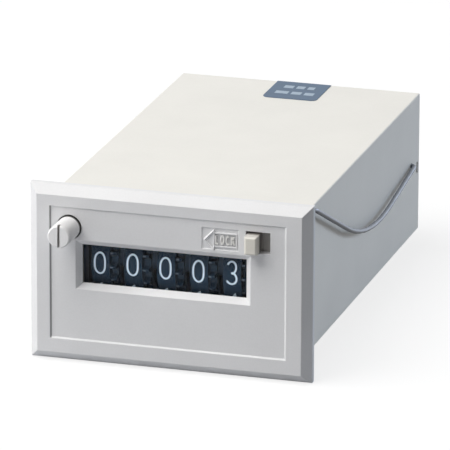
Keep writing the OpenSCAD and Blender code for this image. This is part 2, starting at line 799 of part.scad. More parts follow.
// Shaft of the transfer pinions
module pinion_shaft() {
    color("silver") rod_x(shaft_x0, shaft_x1, pinion_shaft_r, pinion_y, pinion_z);
}

// Clips on the ends of both shafts
module shaft_clips() {
    color("darkgray") for (x = [plate_x0 - sheet_t - clip_t, plate_x1 + sheet_t]) {
        washer_x(x, x + clip_t, wheel_shaft_r, wheel_y, wheel_z);
        washer_x(x, x + clip_t, pinion_shaft_r, pinion_y, pinion_z);
    }
}

// Ring along X on a shaft of radius r
module washer_x(x0, x1, r, y, z) {
    difference() {
        rod_x(x0, x1, r + clip_w, y, z);
        rod_x(x0 - cut, x1 + cut, r + fixed_clear, y, z);
    }
}

// Bushes that keep the row of wheels between the side plates
module spacer_bushes() {
    color("khaki") {
        washer_x(plate_x0, row_x0 - part_clear, wheel_shaft_r, wheel_y, wheel_z);
        washer_x(ratchet_x1 + part_clear, plate_x1, wheel_shaft_r, wheel_y, wheel_z);
    }
}

// Outline of a heart cam whose low point faces the comb's finger
module heart() {
    polygon([for (k = [0 : heart_points - 1])
        let (angle = 360 * k / heart_points - 180)
        let (r = heart_min + (heart_r - heart_min) * abs(angle) / 180)
        r * [cos(angle - 90), sin(angle - 90)]]);
}

// Digit wheel at a place in the row, turned to the digit that it shows
module digit_wheel(i, digit, ratchet) {
    x = wheel_x(i);
    color([0.11, 0.12, 0.14]) translate([x, wheel_y, wheel_z]) difference() {
        union() {
            rod_x(drum_x0, drum_x1, wheel_r, 0, 0);
            sheet_x(drum_x1 - fixed_clear, wheel_half)
                toothed(gear_root, gear_tip, gear_teeth, tooth_root_w, tooth_tip_w, gear_phase);
            rotate([-digit * step_angle, 0, 0]) {
                rod_x(carry_x0, drum_x0 + fixed_clear, carry_r, 0, 0);
                sheet_x(carry_x0, drum_x0 + fixed_clear)
                    for (k = [-1, 1]) rotate(gear_phase + k * 180 / gear_teeth)
                        translate([carry_r / 2, -tooth_tip_w / 2])
                            square([carry_tip - carry_r / 2, tooth_tip_w]);
                sheet_x(-wheel_half, carry_x0 + fixed_clear) heart();
            }
            if (ratchet) sheet_x(wheel_half - fixed_clear, wheel_half + ratchet_w)
                toothed(ratchet_root, ratchet_r, ratchet_teeth, ratchet_root_w, ratchet_tip_w, 0);
        }
        rod_x(-2 * wheel_half, 2 * wheel_half, wheel_shaft_r + run_clear, 0, 0);
        difference() {
            rod_x(drum_x0 + web_t, wheel_half, gear_bore, 0, 0);
            rod_x(0, wheel_half + cut, hub_r, 0, 0);
        }
    }
}

module digit_wheel_ten_thousands() { digit_wheel(0, 0, false); }
module digit_wheel_thousands() { digit_wheel(1, 0, false); }
module digit_wheel_hundreds() { digit_wheel(2, 0, false); }
module digit_wheel_tens() { digit_wheel(3, 0, false); }
module digit_wheel_units() { digit_wheel(4, 3, true); }

// Pinion between wheel i and the next: all teeth mesh with wheel i, every second one reaches the next
module transfer_pinion(i) {
    x0 = wheel_x(i) + drum_x1 + pinion_end;
    x1 = wheel_x(i) + wheel_half;
    x2 = wheel_x(i + 1) + drum_x0 - pinion_end;
    phase = gear_phase + 180 + 180 / pinion_teeth;
    color("gray") translate([0, pinion_y, pinion_z]) difference() {
        union() {
            sheet_x(x0, x1) toothed(pinion_root, pinion_tip, pinion_teeth, tooth_root_w, tooth_tip_w, phase);
            sheet_x(x1 - fixed_clear, x2)
                toothed(pinion_root, pinion_tip, pinion_teeth / 2, tooth_root_w, tooth_tip_w, phase);
        }
        rod_x(x0 - cut, x2 + cut, pinion_shaft_r + run_clear, 0, 0);
    }
}

module transfer_pinion_1() { transfer_pinion(0); }
module transfer_pinion_2() { transfer_pinion(1); }
module transfer_pinion_3() { transfer_pinion(2); }
module transfer_pinion_4() { transfer_pinion(3); }

// Angled iron frame of the magnet, with two ears for the armature's pin
module yoke() {
    color("darkgray") difference() {
        union() {
            slab([-yoke_w / 2, yoke_y0, base_z1], [yoke_w / 2, yoke_y1, yoke_top]);
            slab([-yoke_w / 2, yoke_y1 - yoke_t, base_z1], [yoke_w / 2, yoke_y1, armature_top]);
            for (side = [0, 1]) mirror([side, 0, 0])
                slab([yoke_w / 2 - yoke_ear_w, yoke_y0, base_z1],
                     [yoke_w / 2, hinge_y + yoke_ear_back, yoke_ear_top]);
        }
        rod_x(-yoke_w, yoke_w, hinge_r + fixed_clear, hinge_y, hinge_z);
        rod_y(yoke_y1 - yoke_t - cut, yoke_y1 + cut, rivet_r + fixed_clear, 0, coil_z);
    }
}

// Iron core with the neck that is riveted into the yoke
module core() {
    color("dimgray") {
        rod_y(core_y0, yoke_y1 - yoke_t, core_r, 0, coil_z);
        rod_y(core_y0 + cut, yoke_y1 + rivet_head, rivet_r, 0, coil_z);
    }
}

// Bobbin with a flange at each end
module coil_bobbin() {
    color("saddlebrown") difference() {
        union() {
            rod_y(bobbin_y0, bobbin_y1, core_r + run_clear + bobbin_tube, 0, coil_z);
            for (y = [bobbin_y0, bobbin_y1 - bobbin_flange]) rod_y(y, y + bobbin_flange, bobbin_r, 0, coil_z);
        }
        rod_y(bobbin_y0 - cut, bobbin_y1 + cut, core_r + run_clear, 0, coil_z);
    }
}

// Wound wire, as one sleeve
module coil_winding() {
    y0 = bobbin_y0 + bobbin_flange + run_clear;
    y1 = bobbin_y1 - bobbin_flange - run_clear;
    color("peru") difference() {
        rod_y(y0, y1, winding_r, 0, coil_z);
        rod_y(y0 - cut, y1 + cut, core_r + 2 * run_clear + bobbin_tube, 0, coil_z);
    }
}

// Hinged iron plate in front of the core, with a wing that carries the pallet
module armature() {
    color("lightgray") difference() {
        union() {
            rod_x(-armature_w / 2, armature_w / 2, knuckle_r, hinge_y, hinge_z);
            slab([-armature_w / 2, armature_y0, hinge_z], [armature_w / 2, armature_y1, armature_top]);
            slab([0, armature_y0, wing_z0], [pallet_x1, armature_y1, wing_z1]);
        }
        rod_x(-armature_w, armature_w, hinge_r + run_clear, hinge_y, hinge_z);
    }
}

// Pin of the armature's hinge
module armature_pin() {
    color("silver") rod_x(-yoke_w / 2, yoke_w / 2, hinge_r, hinge_y, hinge_z);
}

// Spring that pulls the pallet's lever down to the chassis
module armature_spring() {
    color("silver") translate([return_x, return_y, base_z1 + fixed_clear])
        coil_spring(wing_z0 - base_z1 - 2 * fixed_clear, return_r, spring_wire_r, return_turns);
}

// Lever and fork that step the units wheel's ratchet
module pallet() {
    color("khaki") {
        slab([foot_x0, armature_y0 - foot_t, wing_z0], [pallet_x1, armature_y0, wing_z1]);
        slab([pallet_x0, fork_y0, wing_z0], [pallet_x1, armature_y0, wing_z0 + lever_h]);
        slab([pallet_x0, fork_y0, fork_bottom], [pallet_x1, fork_y1, fork_top]);
        slab([pallet_x0, pawl_y0, fork_top - fork_arm], [pallet_x1, fork_y1, fork_top]);
        slab([pallet_x0, pawl_y0, fork_top - fork_arm - pawl_len],
             [pallet_x1, pawl_y0 + pawl_w, fork_top]);
        slab([pallet_x0, pawl_y0, fork_bottom], [pallet_x1, fork_y1, fork_bottom + fork_arm]);
        slab([pallet_x0, pawl_y0, fork_bottom],
             [pallet_x1, pawl_y0 + pawl_w, fork_bottom + fork_arm + pawl_len]);
    }
}

// Two brass plates with tabs that pass through the rear cover
module terminal_plates() {
    color("gold") for (x = [-terminal_pitch / 2, terminal_pitch / 2]) difference() {
        union() {
            slab([x - terminal_w / 2, block_y, terminal_z - terminal_h / 2],
                 [x + terminal_w / 2, block_y + terminal_t, terminal_z + terminal_h / 2]);
            slab([x - terminal_tab_w / 2, terminal_tab_y, terminal_tab_z],
                 [x + terminal_tab_w / 2, block_y + terminal_t, terminal_tab_z + terminal_t]);
        }
        rod_y(block_y - cut, block_y + terminal_t + cut, terminal_screw_r + seat_clear, x, terminal_z);
    }
}

// Two slotted terminal screws
module terminal_screws() {
    head_y = block_y + terminal_t;
    color("silver") for (x = [-terminal_pitch / 2, terminal_pitch / 2]) difference() {
        union() {
            rod_y(block_y - terminal_screw_len, head_y + fixed_clear, terminal_screw_r, x, terminal_z);
            rod_y(head_y, head_y + terminal_head_t, terminal_head_r, x, terminal_z);
        }
        slab([x - terminal_head_r, head_y + terminal_head_t / 2, terminal_z - terminal_slot_w / 2],
             [x + terminal_head_r, head_y + terminal_head_t + cut, terminal_z + terminal_slot_w / 2]);
    }
}

// Two leads from the bobbin's rear flange to the terminal tabs
module lead_wires() {
    tab_z = terminal_tab_z + terminal_t / 2;
    tab_x = terminal_pitch / 2;
    span = terminal_tab_y - bobbin_y1;
    route = [[lead_x, bobbin_y1, lead_z], [lead_x, bobbin_y1 + 0.25 * span, lead_z],
             [(lead_x + tab_x) / 2, bobbin_y1 + 0.5 * span, (lead_z + tab_z) / 2],
             [tab_x, bobbin_y1 + 0.75 * span, tab_z], [tab_x, terminal_tab_y, tab_z]];
    color("firebrick") for (side = [0, 1]) mirror([side, 0, 0]) tube(route, lead_r, lead_sides);
}

front_bezel();
window_lens();
reset_button();
reset_spring();
reset_comb();
lock_slider();
housing();
rear_cover();
top_label();
mounting_bail();
chassis();
chassis_screws();
wheel_shaft();
pinion_shaft();
shaft_clips();
spacer_bushes();
digit_wheel_ten_thousands();
digit_wheel_thousands();
digit_wheel_hundreds();
digit_wheel_tens();
digit_wheel_units();
transfer_pinion_1();
transfer_pinion_2();
transfer_pinion_3();
transfer_pinion_4();
yoke();
core();
coil_bobbin();
coil_winding();
armature();
armature_pin();
armature_spring();
pallet();
terminal_plates();
terminal_screws();
lead_wires();
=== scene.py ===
"""Looks of the panel counter: finishes, numerals, moulded marks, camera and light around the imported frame."""
import json
from math import ceil, cos, pi, radians, sin

import bmesh
import bpy
from mathutils import Matrix, Vector


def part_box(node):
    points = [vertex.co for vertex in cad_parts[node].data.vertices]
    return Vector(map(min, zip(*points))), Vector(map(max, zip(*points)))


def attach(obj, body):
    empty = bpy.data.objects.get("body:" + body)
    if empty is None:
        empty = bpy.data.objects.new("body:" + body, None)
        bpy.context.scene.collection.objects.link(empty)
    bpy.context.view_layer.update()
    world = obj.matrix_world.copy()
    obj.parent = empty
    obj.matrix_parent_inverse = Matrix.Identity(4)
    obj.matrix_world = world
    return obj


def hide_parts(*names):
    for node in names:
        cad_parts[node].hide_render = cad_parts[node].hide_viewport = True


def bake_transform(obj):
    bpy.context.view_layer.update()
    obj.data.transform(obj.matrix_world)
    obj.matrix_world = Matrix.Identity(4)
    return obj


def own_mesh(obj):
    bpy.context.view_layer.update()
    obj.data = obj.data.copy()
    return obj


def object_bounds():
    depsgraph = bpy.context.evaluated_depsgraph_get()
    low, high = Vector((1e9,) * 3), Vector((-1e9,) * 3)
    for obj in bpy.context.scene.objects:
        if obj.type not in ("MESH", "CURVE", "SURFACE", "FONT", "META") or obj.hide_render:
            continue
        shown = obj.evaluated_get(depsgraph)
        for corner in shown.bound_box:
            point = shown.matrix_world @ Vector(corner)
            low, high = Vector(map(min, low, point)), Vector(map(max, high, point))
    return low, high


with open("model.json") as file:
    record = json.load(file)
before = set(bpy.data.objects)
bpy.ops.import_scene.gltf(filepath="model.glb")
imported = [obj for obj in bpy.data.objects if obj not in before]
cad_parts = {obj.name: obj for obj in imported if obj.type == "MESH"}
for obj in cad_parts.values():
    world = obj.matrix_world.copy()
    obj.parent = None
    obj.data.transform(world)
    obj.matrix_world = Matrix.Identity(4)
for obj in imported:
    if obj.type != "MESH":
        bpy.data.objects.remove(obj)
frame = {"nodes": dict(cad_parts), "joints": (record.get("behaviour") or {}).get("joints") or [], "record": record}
CAD_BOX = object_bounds()
MM = 0.001

# Camera, found by fitting the flange and the housing to the photograph
CAMERA_AZIMUTH = radians(16.453)
CAMERA_ELEVATION = radians(17.607)
CAMERA_ROLL = radians(0.205)
CAMERA_DISTANCE = 1226.3 * MM
CAMERA_RIGHT = 10.613 * MM
CAMERA_UP = 11.213 * MM
CAMERA_LENS = 481.9
CAMERA_SENSOR = 36.0

# Lamps round a point inside the housing; a level of 1 makes a white surface fully bright head on
LAMP_TARGET = Vector((0, 40, 0)) * MM
LAMPS = {
    "key": dict(direction=(-0.42, -0.35, 0.88), distance=1.6, size=1.5, level=1.18,
                colour=(1.0, 0.99, 0.975)),
    "left_fill": dict(direction=(-1.0, -0.3, 0.15), distance=1.2, size=0.5, level=0.2,
                      colour=(1.0, 1.0, 0.985)),
    "side_fill": dict(direction=(1.0, 0.9, 0.25), distance=1.4, size=0.45, level=0.34,
                      colour=(0.71, 0.83, 1.0)),
}

# Surround, and a floor that bounces more light on the key light's side
WHITE = (1.0, 1.0, 1.0, 1.0)
SURROUND_COLOUR = (0.93, 0.96, 1.0, 1.0)
SURROUND_STRENGTH = 0.07
FLOOR_HALF = 2.5
FLOOR_GAP = 0.2 * MM
FLOOR_FADE = 120 * MM
FLOOR_PALE = (0.76, 0.78, 0.82, 1.0)
FLOOR_DIM = (0.13, 0.135, 0.145, 1.0)
FLOOR_SEEN = (0.22, 0.22, 0.22, 1.0)
FLOOR_GLOW = 0.8
FLOOR_ROUGHNESS = 0.9
FLOOR_SPECULAR = 0.1

# Softened edges of the moulded and turned nodes
EDGE_RADIUS = {
    "front_bezel": 0.16 * MM,
    "housing": 0.2 * MM,
    "rear_cover": 0.2 * MM,
    "lock_slider": 0.12 * MM,
    "reset_button": 0.12 * MM,
    "terminal_screws": 0.12 * MM,
    "terminal_plates": 0.08 * MM,
    "chassis_screws": 0.1 * MM,
    "window_lens": 0.05 * MM,
}
EDGE_SEGMENTS = 2
WELD_REACH = 0.0005 * MM
FLAT_ANGLE = radians(0.5)
SHARP_ANGLE = radians(30)

# Numerals on the digit wheels, and the one that each wheel shows
DIGIT_COUNT = 10
DIGIT_STEP = 2 * pi / DIGIT_COUNT
DIGIT_HEIGHT = 4.85 * MM
DIGIT_WIDTH = 2.6 * MM
DIGIT_STROKE = 0.38 * MM
DIGIT_RAISE = 0.03 * MM
DIGIT_SINK = 0.05 * MM
WHEELS = {"ten_thousands": 0, "thousands": 0, "hundreds": 0, "tens": 0, "units": 3}

# How far each row of numerals is printed above its place, as seen on the object
PRINT_SHIFT = {
    "ten_thousands": 0.1 * MM,
    "thousands": 0.3 * MM,
    "hundreds": 0.26 * MM,
    "tens": 0.28 * MM,
    "units": 0.5 * MM,
}

# Painted highlights on the tips of the ring teeth at the right of each drum
TOOTH_COUNT = 20
TOOTH_PHASE = radians(4.5)
TOOTH_STEP_IN = 0.35 * MM
TOOTH_SPAN = (2.05 * MM, 2.65 * MM)
TOOTH_HIGHLIGHT_W = 0.24 * MM
TOOTH_HIGHLIGHT_RAISE = 0.012 * MM

# Raised arrow in the sunken patch left of the lock slider; a crest is the top's share of the foot's width
PATCH_Y = -2.7 * MM
MARK_SINK = 0.05 * MM
MARK_STROKE = 0.6 * MM
MARK_RAISE = 0.34 * MM
MARK_CREST = 0.15
BOX_STROKE = 0.34 * MM
BOX_RAISE = 0.25 * MM
BOX_CREST = 0.6
GROUND_RAISE = 0.02 * MM
ARROW_TIP_X = 7.6 * MM
ARROW_TIP_Z = 10.3 * MM
ARROW_BARB_X = 9.55 * MM
ARROW_BARB_RISE = 2.1 * MM
ARROW_BOX_X = 14.3 * MM
ARROW_BOX_Z = (9.05 * MM, 11.85 * MM)

# The word inside the arrow's shaft, its letters painted pale as a painted highlight
WORD = "LOCK"
WORD_X = 11.85 * MM
WORD_Z = 10.45 * MM
LETTER_W = 1.02 * MM
LETTER_H = 2.15 * MM
LETTER_PITCH = 1.12 * MM
LETTER_STROKE = 0.44 * MM
LETTER_RAISE = 0.26 * MM
LETTER_CREST = 0.5

# Rows of bars printed on the label: distance behind its middle, and the ends of each bar, in millimetres
LABEL_ROWS = (
    (2.4, ((-3.4, -1.3), (-0.6, 1.2), (1.9, 3.4))),
    (-2.0, ((-4.2, -1.3), (-0.6, 1.6), (2.3, 4.4))),
)
LABEL_BAR_W = 1.9 * MM
LABEL_BAR_RAISE = 0.02 * MM

# How strokes are drawn: steps of an arc, longest step of a line, least cosine that a corner is mitred by,
# and how near the ends of a closed stroke lie, as a share of its width
ARC_STEPS = 10
STROKE_STEP = 0.3 * MM
MITRE_LIMIT = 0.5
CLOSED_WITHIN = 0.1

# Springs
COIL_WIRE = 0.2 * MM
COIL_STEPS = 24
COIL_SIDES = 10
RESET_TURNS = 8
RETURN_TURNS = 5

# Where the painted light that lifts the shade deep in a wheel fades out, from its hub to its rim
WHEEL_LIGHT_FADE = (3.0 * MM, 8.4 * MM)

# Where painted shade lies on the slider: on its top, at the root of its grip and on its plate
SLIDER_TOP_SLOPE = (0.5, 0.9)
SLIDER_TOP_SHADE = 0.62
SLIDER_ROOT_Y = (-4.2 * MM, -3.4 * MM)
SLIDER_PLATE_Y = (-2.4 * MM, -1.0 * MM)

# Where painted shade lies in the left step of the bezel's field
STEP_X = -25.2 * MM
STEP_Y = -3.0 * MM
FIELD_MIDDLE_Z = 0.35 * MM
FIELD_HALF_H = 14.2 * MM
STEP_SHADE_HALF = 0.14 * MM
STEP_SHADE_BLUR = 0.06 * MM
PAINTED_SHADE_FACTOR = 0.42

# Where painted shade lies on the knob: at its root and in the slot of its end
KNOB_ROOT_Y = (-3.7 * MM, -3.2 * MM)
KNOB_X = -21.2 * MM
KNOB_SLOT_Y = -9.35 * MM
KNOB_SLOT_HALF = 0.26 * MM
KNOB_SLOT_DEEP = 0.4 * MM
KNOB_SLOT_BLUR = 0.05 * MM
KNOB_SCUFF_STRETCH = (6.0, 1.0, 1.0)

# Where the wire's underside is darkened with painted shade, by the slope of its surface
WIRE_SHADE_SLOPE = (0.25, -0.45)
WIRE_UNDERSIDE_SHADE = 0.25

# How many times longer than wide a streak is, and the wave node's phase for each metre at a scale of 1
STREAK_LENGTH = 12
WAVE_RATE = 20

# Sockets of the Mix node in its colour mode
MIX_SHARE = 0
MIX_FIRST = 6
MIX_SECOND = 7
MIX_RESULT = 2


# Frame

def joint(name):
    """One joint of the frame."""
    return next(entry for entry in frame["joints"] if entry["name"] == name)


# Colours

def linear(red, green, blue):
    """Linear colour from 8-bit sRGB values."""
    def channel(value):
        value /= 255
        return value / 12.92 if value <= 0.04045 else ((value + 0.055) / 1.055) ** 2.4
    return (channel(red), channel(green), channel(blue), 1.0)


def shade(colour, factor):
    """The same colour, lighter or darker."""
    return tuple(min(1.0, value * factor) for value in colour[:3]) + (1.0,)


BEZEL_GREY = linear(232, 232, 233)
NUMERAL_WHITE = linear(190, 205, 217)
# Painted highlight for the tips of the ring teeth
TOOTH_HIGHLIGHT_GREY = linear(96, 106, 118)
# Painted highlight for the raised letters
WORD_HIGHLIGHT_PALE = linear(246, 245, 242)
# Painted shade for the floor of the arrow's box
BOX_SHADE_GREY = shade(BEZEL_GREY, 0.68)
LABEL_INK = linear(164, 180, 196)
# Painted shade for the slider, and a painted shadow at its grip's root
SLIDER_SHADE_TONE = linear(184, 181, 177)
SLIDER_ROOT_SHADOW = linear(100, 95, 91)
# Painted shade for the knob's root and its slot
KNOB_ROOT_SHADE = linear(52, 50, 49)
KNOB_SLOT_SHADE = linear(181, 178, 176)


# Shader nodes

def add_node(tree, kind, inputs, **settings):
    """New shader node with its settings; each input is set to a value or linked to a socket."""
    node = tree.nodes.new(kind)
    for name, value in settings.items():
        setattr(node, name, value)
    for key, value in inputs.items():
        if isinstance(value, bpy.types.NodeSocket):
            tree.links.new(value, node.inputs[key])
        else:
            node.inputs[key].default_value = value
    return node


def maths(tree, operation, *values):
    """Result of a Math node on numbers or sockets."""
    return add_node(tree, "ShaderNodeMath", dict(enumerate(values)), operation=operation).outputs[0]


class Surface:
    """A Principled material whose colour, roughness and bump come from procedural nodes."""

    def __init__(self, name, metallic=0.0, specular=0.5):
        self.material = bpy.data.materials.new(name)
        self.material.use_nodes = True
        self.tree = self.material.node_tree
        self.shader = self.tree.nodes["Principled BSDF"]
        self.shader.inputs["Metallic"].default_value = metallic
        self.shader.inputs["Specular IOR Level"].default_value = specular
        coordinates = self.add("ShaderNodeTexCoord", {})
        self.place = coordinates.outputs["Object"]
        self.normal = coordinates.outputs["Normal"]

    def add(self, kind, inputs, **settings):
        """New node of this material."""
        return add_node(self.tree, kind, inputs, **settings)

    def noise(self, size, detail=3, place=None):
        """Noise whose features are about size metres wide."""
        inputs = {"Vector": place or self.place, "Scale": 1 / size, "Detail": detail}
        return self.add("ShaderNodeTexNoise", inputs).outputs["Fac"]

    def stretch(self, factors):
        """Object coordinates scaled by a factor on each axis."""
        return self.add("ShaderNodeMapping", {"Vector": self.place, "Scale": factors}).outputs["Vector"]

    def streaks(self, width, axis):
        """Noise drawn out along one axis, in streaks about width metres wide."""
        factors = [1 if letter == axis else STREAK_LENGTH for letter in "XYZ"]
        return self.noise(width * STREAK_LENGTH, place=self.stretch(factors))

    def waves(self, pitch, direction, distortion):
        """Bands of a given pitch along one axis."""
        inputs = {"Vector": self.place, "Scale": 2 * pi / (WAVE_RATE * pitch), "Distortion": distortion}
        node = self.add("ShaderNodeTexWave", inputs, wave_type="BANDS", bands_direction=direction)
        return node.outputs["Fac"]

    def tint(self, fac, colour, low, high, start=0.3, stop=0.7):
        """The colour, from low to high times its brightness as fac goes from start to stop."""
        node = self.add("ShaderNodeValToRGB", {"Fac": fac})
        for element, position, factor in zip(node.color_ramp.elements, (start, stop), (low, high)):
            element.position = position
            element.color = shade(colour, factor)
        return node.outputs["Color"]

    def mix(self, first, second, share):
        """Colour between two colours or colour sockets, with a given share of the second."""
        inputs = {MIX_SHARE: share, MIX_FIRST: first, MIX_SECOND: second}
        return self.add("ShaderNodeMix", inputs, data_type="RGBA").outputs[MIX_RESULT]

    def spread(self, fac, low, high):
        """Number that runs from low to high with fac."""
        return self.add("ShaderNodeMapRange", {"Value": fac, "To Min": low, "To Max": high}).outputs["Result"]

    def between(self, value, start, stop):
        """Factor that rises from 0 to 1 as a number goes from start to stop."""
        inputs = {"Value": value, "From Min": start, "From Max": stop}
        return self.add("ShaderNodeMapRange", inputs).outputs["Result"]

    def along(self, axis):
        """Object coordinate along one axis."""
        return self.add("ShaderNodeSeparateXYZ", {"Vector": self.place}).outputs[axis]

    def slope(self):
        """How far the surface's own normal points up, from -1 to 1."""
        return self.add("ShaderNodeSeparateXYZ", {"Vector": self.normal}).outputs["Z"]

    def off_axis(self, point):
        """Distance from the line along X through a point."""
        across = self.add("ShaderNodeVectorMath", {0: self.place, 1: (0, 1, 1)}, operation="MULTIPLY")
        ends = {0: across.outputs["Vector"], 1: (0, point[1], point[2])}
        return self.add("ShaderNodeVectorMath", ends, operation="DISTANCE").outputs["Value"]

    def near(self, axis, middle, half, blur):
        """Factor that is 1 within half of a middle on one axis and falls to 0 over a blur beyond it."""
        offset = maths(self.tree, "SUBTRACT", self.along(axis), middle)
        return self.between(maths(self.tree, "ABSOLUTE", offset), half + blur, half)

    def both(self, first, second):
        """Product of two factors."""
        return maths(self.tree, "MULTIPLY", first, second)

    def colour(self, value):
        """Links the base colour to a colour socket."""
        self.tree.links.new(value, self.shader.inputs["Base Color"])

    def roughness(self, fac, low, high):
        """Lets the roughness run from low to high with fac."""
        self.tree.links.new(self.spread(fac, low, high), self.shader.inputs["Roughness"])

    def bump(self, height, depth, strength):
        """Lets the surface rise with height, by a depth in metres."""
        node = self.add("ShaderNodeBump", {"Height": height, "Distance": depth, "Strength": strength})
        self.tree.links.new(node.outputs["Normal"], self.shader.inputs["Normal"])


# Materials

def left_step_shade(surface):
    """Painted shade in the left step of the bezel's field."""
    across = surface.near("X", STEP_X, STEP_SHADE_HALF, STEP_SHADE_BLUR)
    deep = surface.near("Y", STEP_Y, STEP_SHADE_HALF, STEP_SHADE_BLUR)
    tall = surface.near("Z", FIELD_MIDDLE_Z, FIELD_HALF_H, STEP_SHADE_BLUR)
    return surface.both(tall, surface.both(across, deep))


def moulded_plastic(name, colour, roughness, grain=0.35 * MM, mottle=0.03, painted_shade=None):
    """Plastic with a fine spark-eroded grain, faint flow marks, uneven shine and, where a mask is given, painted
    shade.
    """
    surface = Surface(name)
    fine = surface.noise(grain, detail=2)
    flow = surface.tint(surface.noise(size=14 * MM, detail=4), colour, low=1 - mottle, high=1 + mottle)
    speck = surface.tint(fine, colour, low=0.97, high=1.02, start=0.35, stop=0.65)
    plain = surface.mix(flow, speck, share=0.4)
    # Where a mask is given, painted shade darkens the colour there
    surface.colour(surface.mix(plain, shade(colour, PAINTED_SHADE_FACTOR), painted_shade(surface)) if painted_shade else plain)
    surface.roughness(surface.noise(size=5 * MM), low=roughness - 0.07, high=roughness + 0.07)
    surface.bump(fine, depth=0.02 * MM, strength=0.6)
    return surface.material


def slider_plastic(name, colour):
    """Fine-grained plastic, with painted shade on its top and on the plate behind the bezel, and a painted shadow
    at the grip's root.
    """
    surface = Surface(name)
    fine = surface.noise(size=0.2 * MM, detail=2)
    cloud = surface.noise(size=4 * MM)
    plain = surface.mix(surface.tint(fine, colour, low=0.96, high=1.0),
                        surface.tint(cloud, colour, low=0.95, high=1.03), share=0.5)
    # Painted shade darkens the top and the plate behind the bezel; a painted shadow darkens the grip's root
    top = surface.spread(surface.between(surface.slope(), *SLIDER_TOP_SLOPE), low=0.0, high=SLIDER_TOP_SHADE)
    root = surface.between(surface.along("Y"), *SLIDER_ROOT_Y)
    behind = surface.between(surface.along("Y"), *SLIDER_PLATE_Y)
    shaded_grip = surface.mix(surface.mix(plain, SLIDER_SHADE_TONE, top), SLIDER_ROOT_SHADOW, root)
    surface.colour(surface.mix(shaded_grip, SLIDER_SHADE_TONE, behind))
    surface.roughness(cloud, low=0.4, high=0.52)
    surface.bump(fine, depth=0.02 * MM, strength=0.6)
    return surface.material


def wheel_plastic(name, colour, painted_light, axis):
    """Dark plastic wheel, painted paler towards its hub as painted light that lifts the shade deep in it."""
    surface = Surface(name, specular=0.08)
    fine = surface.noise(size=0.25 * MM, detail=2)
    lifted = surface.tint(fine, painted_light, low=0.9, high=1.1)
    plain = surface.tint(fine, colour, low=0.94, high=1.04)
    # Painted light: the wheel is paler towards its hub
    surface.colour(surface.mix(lifted, plain, surface.between(surface.off_axis(axis), *WHEEL_LIGHT_FADE)))
    surface.roughness(surface.noise(size=5 * MM), low=0.43, high=0.57)
    surface.bump(fine, depth=0.02 * MM, strength=0.6)
    return surface.material


def drawn_metal(name, colour, roughness, axis, streak=0.25 * MM, stain=0.1):
    """Metal with streaks along one axis, faint stains and uneven shine."""
    surface = Surface(name, metallic=1.0)
    lines = surface.streaks(streak, axis)
    stained = surface.tint(surface.noise(size=4 * MM), colour, low=1 - stain, high=1 + stain / 2)
    surface.colour(surface.mix(stained, surface.tint(lines, colour, low=0.8, high=1.1), share=0.35))
    surface.roughness(lines, low=roughness - 0.08, high=roughness + 0.1)
    surface.bump(lines, depth=0.006 * MM, strength=0.5)
    return surface.material


def oiled_wire(name, colour):
    """Dull drawn wire with faint streaks and painted shade on its underside."""
    surface = Surface(name, metallic=1.0)
    lines = surface.streaks(width=0.25 * MM, axis="Y")
    # Painted shade darkens the underside
    under = surface.between(surface.slope(), *WIRE_SHADE_SLOPE)
    plain = surface.tint(lines, colour, low=0.85, high=1.1)
    surface.colour(surface.mix(plain, shade(colour, WIRE_UNDERSIDE_SHADE), under))
    surface.roughness(lines, low=0.46, high=0.58)
    surface.bump(lines, depth=0.006 * MM, strength=0.5)
    return surface.material


def clear_plastic(name, colour, ior):
    """Clear sheet with a coating that keeps reflections faint."""
    surface = Surface(name)
    surface.shader.inputs["Transmission Weight"].default_value = 1.0
    surface.shader.inputs["IOR"].default_value = ior
    haze = surface.noise(size=6 * MM)
    surface.colour(surface.tint(haze, colour, low=0.98, high=1.0))
    surface.roughness(haze, low=0.02, high=0.05)
    return surface.material


def brushed_knob(name, colour):
    """White knob with faint scuffs, and painted shade in its slot and where it enters the bezel."""
    surface = Surface(name)
    scuff = surface.noise(size=0.9 * MM, detail=4, place=surface.stretch(KNOB_SCUFF_STRETCH))
    cloudy = surface.tint(surface.noise(size=2.5 * MM), colour, low=0.95, high=1.0)
    plain = surface.mix(cloudy, surface.tint(scuff, colour, low=0.86, high=1.05), share=0.35)
    # Painted shade darkens the knob's root and the slot in its end
    root = surface.between(surface.along("Y"), *KNOB_ROOT_Y)
    slot = surface.both(surface.near("X", KNOB_X, KNOB_SLOT_HALF, KNOB_SLOT_BLUR),
                        surface.near("Y", KNOB_SLOT_Y, KNOB_SLOT_DEEP, KNOB_SLOT_BLUR))
    surface.colour(surface.mix(surface.mix(plain, KNOB_ROOT_SHADE, root), KNOB_SLOT_SHADE, slot))
    surface.roughness(scuff, low=0.36, high=0.55)
    surface.bump(scuff, depth=0.015 * MM, strength=0.5)
    return surface.material


def printed_film(name, colour):
    """Satin film, faintly clouded, with a screen texture."""
    surface = Surface(name, specular=0.3)
    cloud = surface.noise(size=3 * MM)
    screen = surface.noise(size=0.18 * MM, detail=1)
    clouded = surface.tint(cloud, colour, low=0.9, high=1.12)
    surface.colour(surface.mix(clouded, surface.tint(screen, colour, low=0.85, high=1.2), share=0.3))
    surface.roughness(cloud, low=0.44, high=0.56)
    surface.bump(screen, depth=0.008 * MM, strength=0.5)
    return surface.material


def matt_film(name, colour):
    """Thin matt layer, such as ink, a painted highlight or painted shade, a little uneven."""
    surface = Surface(name)
    cloud = surface.noise(size=0.6 * MM)
    surface.colour(surface.tint(cloud, colour, low=0.9, high=1.04))
    surface.roughness(cloud, low=0.44, high=0.6)
    surface.bump(cloud, depth=0.006 * MM, strength=0.5)
    return surface.material


